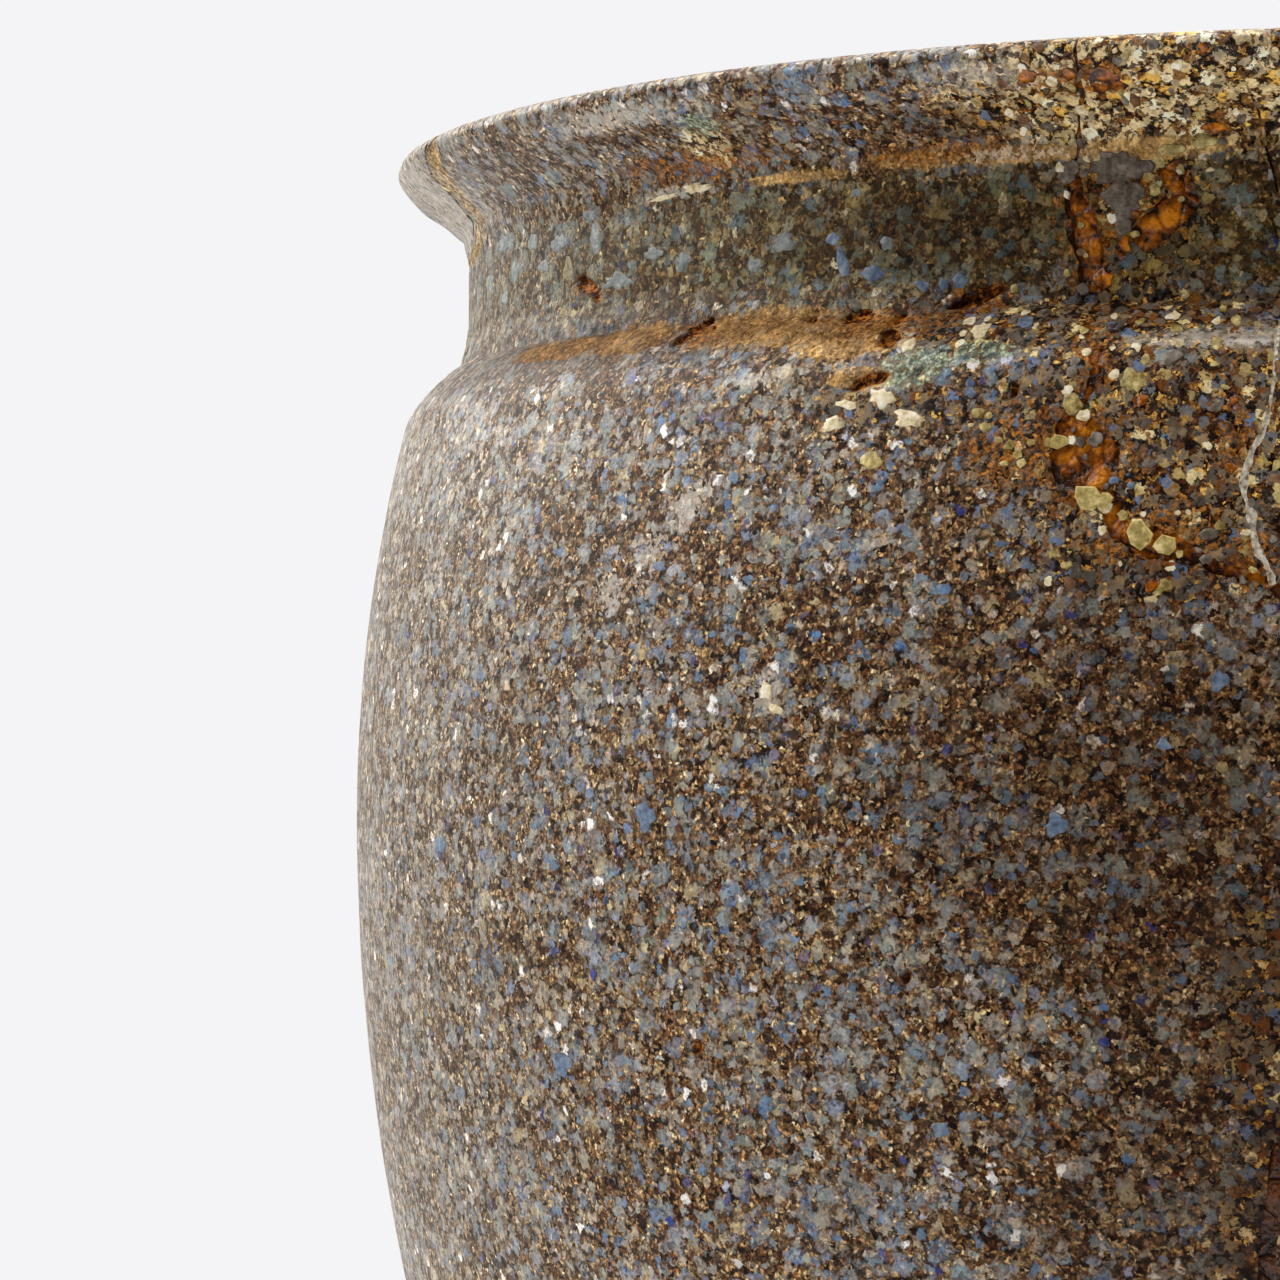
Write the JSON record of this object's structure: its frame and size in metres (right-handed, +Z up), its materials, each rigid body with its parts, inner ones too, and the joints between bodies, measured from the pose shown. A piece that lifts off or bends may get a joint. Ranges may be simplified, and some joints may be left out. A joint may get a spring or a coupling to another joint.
{
  "type": "tall pointed jar",
  "caption": "Tall stone jar with a wide flared mouth, short neck and rounded shoulder, tapering to a narrow foot, mended from sherds with resin and filler.",
  "frame": {"origin": "centre of the flat foot, on the surface the jar stands on", "axes": "+Z up along the jar's axis, -Y towards the front, where the mended break runs down the side, +X to the right"},
  "size_m": [0.0798, 0.0798, 0.132],
  "materials": {
    "stone": "polished, granular, blue-grey grains in a brown matrix",
    "tan_fill": "fine sandy filler, matt",
    "amber_resin": "glossy amber resin with mineral grains",
    "dark_resin": "glossy dark brown resin",
    "calcite": "pale grey calcite, satin"
  },
  "bodies": {
    "root": {"body_main": "stone", "body_side_sherd": "stone", "shoulder_sherd": "stone", "neck_left_sherd": "stone", "neck_right_sherd": "stone", "lip_sherd": "stone", "neck_collar_fill": "tan_fill", "lip_joint_fill": "tan_fill", "neck_front_resin": "amber_resin", "neck_back_resin": "dark_resin", "neck_resin_plug": "amber_resin", "shoulder_joint_resin": "amber_resin", "calcite_vein": "calcite", "body_side_resin": "dark_resin"}
  },
  "joints": []
}
